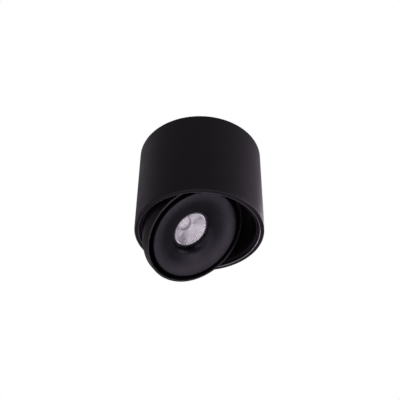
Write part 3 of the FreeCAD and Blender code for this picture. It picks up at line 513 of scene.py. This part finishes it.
def round_ended(half_width, steps=24):
    """Closed outline (x, z) at one distance from the slot's arc: out along the larger radius,
    round the end, back along the smaller radius and round the start."""
    sweep = np.linspace(slot_start, slot_end, steps)
    turn = np.linspace(0.0, math.pi, steps)
    middle = np.array([0.0, tilt_centre[2]])

    def ray(angle):
        return np.stack([np.sin(angle), np.cos(angle)], -1)

    outward = middle + ray(sweep) * (guide_radius + half_width)
    end = middle + ray(slot_end) * guide_radius + ray(slot_end + turn) * half_width
    homeward = middle + ray(sweep[::-1]) * (guide_radius - half_width)
    start = middle + ray(slot_start) * guide_radius + ray(slot_start + math.pi + turn) * half_width
    return np.concatenate([outward, end[1:-1], homeward, start[1:-1]])


def lug(name, flank):
    """Solid band between the lug's edge and the slot's edge, carried from one face to the other."""
    edge, slot = round_ended(lug_half), round_ended(slot_half)
    rings = [(edge, lug_near), (edge, lug_far), (slot, lug_far), (slot, lug_near)]
    grid = np.stack([np.stack([ring[:, 0], np.full(len(ring), flank * reach), ring[:, 1]], -1)
                     for ring, reach in rings])
    return surface(name, "head", shown(grid), across_closed=True, along_closed=True, sharp=30.0,
                   flip=flank > 0)


for flank, word in flanks:
    bar = lug("can_lug_" + word, flank)
    bar.data.materials.append(can_coat)

# The root of each lug runs down the side of the cup to its straight band. Its corners go from low
# left to low right, high right and high left, and its faces follow the can's wall.
root_left = -4.8 * mm
root_right = 13.6 * mm
root_low = mouth + can_band - 1.0 * mm
root_high = tilt_centre[2] + guide_radius - lug_half + 0.5 * mm
root_slant = 3.4 * mm
root_x = np.array([root_left, root_right, root_right, root_left])
root_z = np.array([root_low, root_low, root_high - root_slant, root_high])
root_inner_y = np.array([46.6, 46.6, 48.4, 48.4]) * mm
root_outer_y = np.array([49.9, 48.4, 50.4, 50.4]) * mm
for flank, word in flanks:
    faces = [np.stack([root_x, flank * y, root_z], -1) for y in (root_inner_y, root_outer_y)]
    middle_near = np.broadcast_to(faces[0].mean(0), faces[0].shape)
    middle_far = np.broadcast_to(faces[1].mean(0), faces[1].shape)
    root = surface("can_lug_root_" + word, "head", shown(np.stack([middle_near, *faces, middle_far])),
                   across_closed=True, along_closed=False, sharp=20.0, flip=flank > 0)
    root.data.materials.append(can_coat)

# ------------------------------------------------------------------ trim ring
# The wide black front: a cast aluminium ring with a crisp edge, whose face sinks like a trumpet's
# bell to the lamp hole. Its coat is a fine sandy texture. Three posts behind it take screws.
trim_radius = 44.2 * mm
trim_edge = 1.0 * mm
trim_crest = 0.4 * mm
trim_hole = 17.0 * mm
trim_hole_depth = 9.6 * mm
trim_land = 1.8 * mm
trim_wall = 1.8 * mm
trim_skirt = 15.0 * mm
throat_radius = 13.0 * mm
throat_slope = math.radians(64.0)
# The wide arc and the throat's arc meet where they slope alike: the tangent of half that slope is
# the fall over the run that are left when the whole of the throat's arc is taken off.
crest_radius = trim_radius - trim_edge
face_run = crest_radius - trim_hole - throat_radius * math.sin(throat_slope)
face_fall = trim_hole_depth + trim_crest - throat_radius * (1 - math.cos(throat_slope))
meet_slope = 2 * math.atan2(face_fall, face_run)
face_radius = throat_radius + face_run / math.sin(meet_slope)


def bell(slopes, offset):
    """Corners on the face at these slopes, moved back square to it by an offset. From the crest
    the face follows a wide arc that starts level; past the slope where they meet it follows the
    throat's smaller arc down to the hole."""
    first, rest = np.minimum(slopes, meet_slope), np.maximum(slopes, meet_slope)
    inward = face_radius * np.sin(first) + throat_radius * (np.sin(rest) - math.sin(meet_slope))
    deep = face_radius * (1 - np.cos(first)) + throat_radius * (math.cos(meet_slope) - np.cos(rest))
    radius = crest_radius - inward + offset * np.sin(slopes)
    deep = deep + offset * np.cos(slopes) - trim_crest
    return [(across, down, 0.0) for across, down in zip(radius, deep)]


edge_turn = np.linspace(0.0, math.pi / 2, 10)[1:-1]
edge_arc = [(crest_radius + trim_edge * math.sin(turn),
             -trim_crest + trim_edge * (1 - math.cos(turn)), 0.0) for turn in edge_turn]
skirt_inner = trim_radius - trim_wall
inside_corner = 1.0 * mm
back_slope = math.asin((crest_radius - skirt_inner + inside_corner) / (face_radius - trim_wall))
face_slopes = np.concatenate([np.linspace(throat_slope, meet_slope, 20),
                              np.linspace(meet_slope, 0.0, 30)[1:]])
back_slopes = np.concatenate([np.linspace(back_slope, meet_slope, 16),
                              np.linspace(meet_slope, throat_slope, 12)[1:]])
land_depth = trim_hole_depth + trim_land
trim_outline = head_outline(
    bell(face_slopes, 0.0) + edge_arc +
    [(trim_radius, trim_edge - trim_crest, 0.0),
     (trim_radius, trim_skirt, broken_edge),
     (skirt_inner, trim_skirt, broken_edge),
     (skirt_inner, trim_wall + inside_corner - trim_crest, 0.0)] +
    bell(back_slopes, trim_wall) +
    [(bell(np.array([throat_slope]), trim_wall)[0][0], land_depth, 0.0),
     (trim_hole, land_depth, 0.0)])
trim = surface("trim_ring_face", "head", shown(spin(trim_outline, all_round)),
               across_closed=True, along_closed=True)
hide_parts("trim_ring")
trim_coat = powder_coat("trim_powder_coat", (0.0026, 0.0022, 0.0030),
                        grain=0.45 * mm, roughness=0.30, bump=0.6, tint=(0.92, 0.86, 1.0, 1.0))
trim.data.materials.append(trim_coat)

posts = 3
post_radius = 3.2 * mm
post_circle = 36.0 * mm
post_start = 2.0 * mm
post_outline = head_outline([(0.0, post_start, 0.0), (post_radius, post_start, 0.0),
                             (post_radius, can_floor, broken_edge), (0.0, can_floor, 0.0)])
for count in range(posts):
    angle = 2 * math.pi * count / posts
    centre = np.array([post_circle * math.cos(angle), post_circle * math.sin(angle), 0.0])
    post = surface("trim_post_%d" % count, "head", shown(spin(post_outline, all_round[::8]) + centre),
                   across_closed=True, along_closed=False)
    post.data.materials.append(trim_coat)

# ------------------------------------------------------------------ reflector
# A thin drawn aluminium cone, bright anodised, with sixty hollow flutes pressed down its inside.
# The ridges between them are sharp; the dark reflections on them are painted into its colour.
# Its flange sits behind the ring.
flutes = 60
flute_depth = 0.45 * mm
mouth_depth = land_depth
base_depth = 22.0 * mm
mouth_radius = 16.5 * mm
base_radius = 7.0 * mm
cone_wall = 0.8 * mm
flange_radius = 20.0 * mm


def fluted_cone(steps, sides):
    """Inside: radius falls in a straight line from mouth to base, less the ridge height times
    one minus the size of the sine of half the flute count times the angle, so each flute is a
    hollow between two sharp ridges. Outside: the plain cone and the flange."""
    angle = np.linspace(0.0, 2 * math.pi, sides, endpoint=False)
    share = np.linspace(0.0, 1.0, steps)[:, None]
    mean = mouth_radius + (base_radius - mouth_radius) * share
    ridge = flute_depth * mean / mouth_radius
    radius = mean - ridge * (1 - np.abs(np.sin(flutes * angle / 2)))
    depth = np.broadcast_to(mouth_depth + (base_depth - mouth_depth) * share, radius.shape)
    outside = np.array([(base_radius + cone_wall, base_depth),
                        (mouth_radius + cone_wall, mouth_depth + cone_wall),
                        (flange_radius, mouth_depth + cone_wall),
                        (flange_radius, mouth_depth)])
    radius = np.concatenate([radius, np.broadcast_to(outside[:, :1], (4, sides))])
    depth = np.concatenate([depth, np.broadcast_to(outside[:, 1:], (4, sides))])
    return np.stack([radius * np.cos(angle), radius * np.sin(angle), mouth + depth], -1)


def painted_ridge_reflections(material):
    """Paints dark reflections onto the ridges as darker colour: the measure is the size of the sine
    of half the flute count times the angle round the cone's axis, which is zero on a ridge and one
    along the middle of a flute."""
    tree = material.node_tree
    place = tree.nodes.new("ShaderNodeTexCoord").outputs["Object"]
    origin, x_end, y_end = shown(np.array([(0.0, 0.0, mouth), (1.0, 0.0, mouth), (0.0, 1.0, mouth)]))
    centred = maths(tree, "ShaderNodeVectorMath", "SUBTRACT", place, origin).outputs["Vector"]
    x, y = (maths(tree, "ShaderNodeVectorMath", "DOT_PRODUCT", centred, end - origin).outputs["Value"]
            for end in (x_end, y_end))
    angle = maths(tree, "ShaderNodeMath", "ARCTAN2", y, x).outputs["Value"]
    half = maths(tree, "ShaderNodeMath", "MULTIPLY", angle, flutes / 2).outputs["Value"]
    wave = maths(tree, "ShaderNodeMath", "SINE", half).outputs["Value"]
    size = maths(tree, "ShaderNodeMath", "ABSOLUTE", wave).outputs["Value"]
    # Painted reflection: the colour turns dark grey towards each ridge.
    blend_in_colour(material, size, near=0.0, far=0.6, most=0.95, colour=(0.08, 0.08, 0.09, 1.0))


reflector = surface("reflector_cone", "head", shown(fluted_cone(steps=24, sides=flutes * 12)),
                    across_closed=True, along_closed=True, sharp=25.0, flip=True)
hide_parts("reflector")
bright = metal("bright_anodised", (0.98, 0.99, 0.98), roughness=0.18, scratch=0.1, metallic=0.6)
# Painted reflection: dark lines painted along the ridges of the cone.
painted_ridge_reflections(bright)
reflector.data.materials.append(bright)

# ------------------------------------------------------------------ light source
# A round phosphor patch on a white ceramic board, clamped by a white plastic ring. The chips
# under the phosphor show as small darker dots. A soft pad passes the board's heat on.
def moulded(name, colour, roughness, bump=0.1):
    """Moulded plastic or rubber: a fine spark-eroded grain and a slightly uneven gloss."""
    made, tree, shader, place = new_material(name)
    shader.inputs["IOR"].default_value = 1.46
    grain = noise(tree, place, 2200.0, detail=3.0)
    blush = noise(tree, place, 120.0)
    uneven_tone(tree, shader, blush, colour, 0.92, 1.04)
    uneven_gloss(tree, shader, blush, roughness - 0.06, roughness + 0.06, between=(0.0, 1.0))
    tree.links.new(relief(tree, grain, bump, 0.08 * mm), shader.inputs["Normal"])
    return made


def chips_below(material):
    """Small dots in rows: the measure is the distance from the nearest point of a loose grid."""
    tree = material.node_tree
    grid = tree.nodes.new("ShaderNodeTexVoronoi")
    grid.inputs["Scale"].default_value = 480.0
    grid.inputs["Randomness"].default_value = 0.35
    tree.links.new(tree.nodes.new("ShaderNodeTexCoord").outputs["Object"], grid.inputs["Vector"])
    blend_in_colour(material, grid.outputs["Distance"], near=0.30, far=0.42, most=0.85,
                 colour=(0.38, 0.36, 0.38, 1.0))


phosphor = moulded("phosphor_patch", (0.80, 0.78, 0.80), roughness=0.35)
chips_below(phosphor)
finish_node("led_emitter", phosphor)
finish_node("led_board", moulded("ceramic_board", (0.75, 0.75, 0.73), roughness=0.45))
finish_node("led_holder", moulded("heat_proof_plastic", (0.7, 0.7, 0.69), roughness=0.4))
finish_node("thermal_pad", moulded("silicone_pad", (0.35, 0.4, 0.5), roughness=0.7))

# ------------------------------------------------------------------ heatsink and hidden metal
# A finned aluminium extrusion, dark anodised, screwed to the back of the can; zinc plated screws,
# nuts and ceiling plate; oiled spring steel in the ring's bearing; a brass earth screw.
finish_node("heatsink", metal("dark_anodised", (0.16, 0.16, 0.17), roughness=0.42, scratch=0.4))
zinc = metal("zinc_plate", (0.6, 0.6, 0.62), roughness=0.32, scratch=0.25)
for name in ("ceiling_plate", "terminal_screws", "terminal_fixing_screw", "driver_screws",
             "guide_screws", "guide_nuts", "trim_screws", "holder_screws", "heatsink_screws"):
    finish_node(name, zinc)
spring = metal("oiled_spring_steel", (0.2, 0.19, 0.18), roughness=0.35, scratch=0.3)
finish_node("disc_spring", spring)
finish_node("circlip", spring)
finish_node("earth_screw", metal("plain_brass", (0.66, 0.47, 0.2), roughness=0.3, scratch=0.2))

# ------------------------------------------------------------------ hidden plastic and rubber
# All moulded: rubber bushes for the cables, nylon washers, glide ring and terminal block, and the
# white case of the driver with its lid.
rubber = moulded("black_rubber", (0.02, 0.02, 0.02), roughness=0.75, bump=0.3)
finish_node("cable_grommet", rubber)
finish_node("lead_grommet", rubber)
nylon = moulded("natural_nylon", (0.7, 0.68, 0.62), roughness=0.5)
for name in ("glide_ring", "friction_washers", "terminal_block"):
    finish_node(name, nylon)
white_case = moulded("white_case_plastic", (0.68, 0.68, 0.66), roughness=0.5, bump=0.2)
finish_node("driver_case", white_case)
finish_node("driver_lid", white_case)
